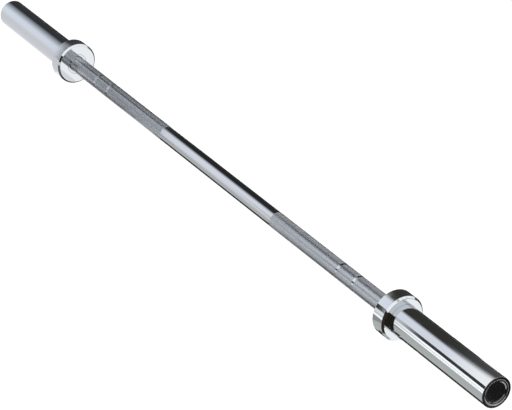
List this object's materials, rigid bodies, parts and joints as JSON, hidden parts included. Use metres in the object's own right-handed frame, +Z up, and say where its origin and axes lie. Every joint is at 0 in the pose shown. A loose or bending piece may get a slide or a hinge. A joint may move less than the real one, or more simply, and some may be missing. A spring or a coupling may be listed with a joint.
{
  "type": "olympic barbell",
  "caption": "Short olympic barbell: a knurled chrome shaft with ring marks, and a thick collar and a plain plate sleeve that spins freely at each end.",
  "frame": {"origin": "middle of the shaft's length, on its axis", "axes": "+X along the bar towards the right-hand sleeve, +Z up, +Y away from a lifter who stands at -Y"},
  "size_m": [1.524, 0.075, 0.075],
  "materials": {
    "shaft_chrome": "bright chrome plate, knurled where it is gripped",
    "sleeve_chrome": "polished chrome plate on steel",
    "washer_bright": "bright plated steel",
    "bronze": "turned oil-filled bronze",
    "washer_steel": "ground steel, oiled",
    "spring_steel": "black phosphated spring steel",
    "cap_black": "black moulded plastic",
    "ring_bright": "bright turned aluminium",
    "disc_black": "glossy black, bare"
  },
  "bodies": {
    "shaft": {"shaft": "shaft_chrome", "left_inner_thrust_washer": "washer_steel", "left_outer_thrust_washer": "washer_steel", "left_circlip": "spring_steel", "right_inner_thrust_washer": "washer_steel", "right_outer_thrust_washer": "washer_steel", "right_circlip": "spring_steel"},
    "left_sleeve": {"left_sleeve": "sleeve_chrome", "left_collar": "sleeve_chrome", "left_collar_washer": "washer_bright", "left_inner_bushing": "bronze", "left_outer_bushing": "bronze", "left_end_cap": "cap_black", "left_cap_ring": "ring_bright", "left_cap_disc": "disc_black"},
    "right_sleeve": {"right_sleeve": "sleeve_chrome", "right_collar": "sleeve_chrome", "right_collar_washer": "washer_bright", "right_inner_bushing": "bronze", "right_outer_bushing": "bronze", "right_end_cap": "cap_black", "right_cap_ring": "ring_bright", "right_cap_disc": "disc_black"}
  },
  "joints": [
    {"name": "left_sleeve_spin", "type": "hinge", "parent": "shaft", "child": "left_sleeve", "pos_m": [-0.64, 0, 0], "axis": [1, 0, 0], "continuous": true},
    {"name": "right_sleeve_spin", "type": "hinge", "parent": "shaft", "child": "right_sleeve", "pos_m": [0.64, 0, 0], "axis": [1, 0, 0], "continuous": true}
  ]
}
